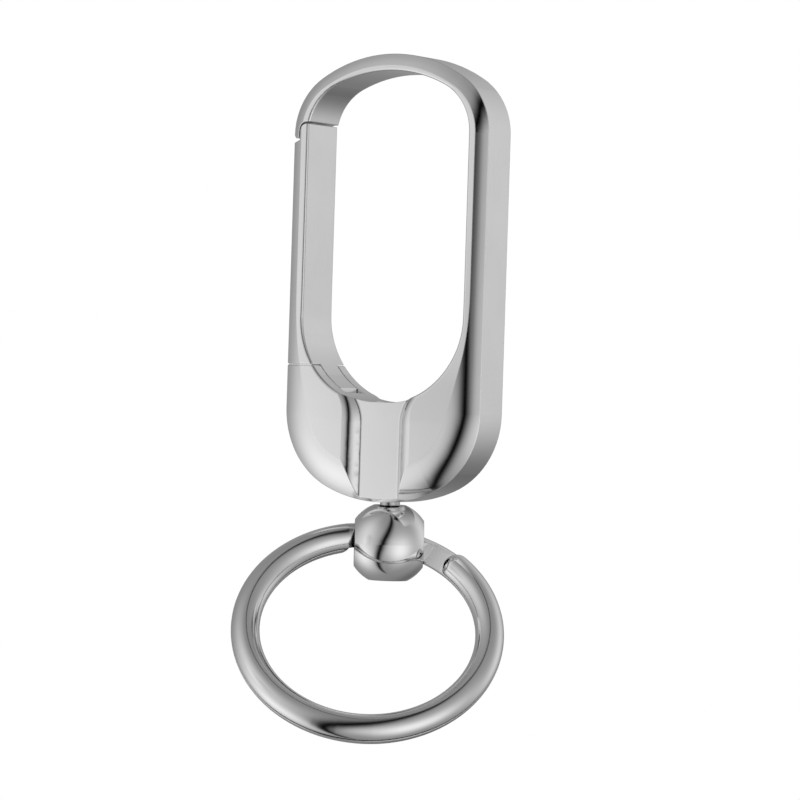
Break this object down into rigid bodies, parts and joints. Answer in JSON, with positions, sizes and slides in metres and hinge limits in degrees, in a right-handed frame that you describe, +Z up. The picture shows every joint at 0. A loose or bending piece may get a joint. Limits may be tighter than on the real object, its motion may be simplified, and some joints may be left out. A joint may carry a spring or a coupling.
{
  "type": "belt key clip",
  "caption": "Polished metal loop with a sprung gate that hooks on a belt loop, and a swivel ball below it that carries a split ring for keys.",
  "frame": {"origin": "hook seat: the top of the loop's inside, at the middle of its width and depth", "axes": "+Z up the loop, X across it with the gate on the -X side, -Y to the front, the side to which the ring is swung"},
  "size_m": [0.0288, 0.0247, 0.0742],
  "materials": {
    "plated_casting": "polished nickel plate, satin on the inner and outer side faces",
    "plated_wire": "polished nickel plate",
    "bare_steel": "turned or drawn steel"
  },
  "bodies": {
    "hook": {"hook_body": "plated_casting", "gate_hinge_pin": "bare_steel", "gate_spring": "bare_steel"},
    "gate": {"gate": "plated_casting"},
    "swivel": {"swivel_ball": "plated_casting", "swivel_rivet": "bare_steel"},
    "ring": {"split_ring": "plated_wire"}
  },
  "joints": [
    {"name": "gate_pivot", "type": "hinge", "parent": "hook", "child": "gate", "pos_m": [-0.00782, 0, -0.0352], "axis": [0, 1, 0], "range_deg": [0, 25], "stiffness_Nm_per_rad": 0.006, "springref_deg": -34.38, "deforming": ["gate_spring"]},
    {"name": "swivel_spin", "type": "hinge", "parent": "hook", "child": "swivel", "pos_m": [0, 0, -0.05185], "axis": [0, 0, 1], "continuous": true},
    {"name": "ring_swing", "type": "hinge", "parent": "swivel", "child": "ring", "pos_m": [0, 0, -0.05185], "axis": [0.8434, 0.5373, 0], "range_deg": [-82.5, 167.5]}
  ]
}
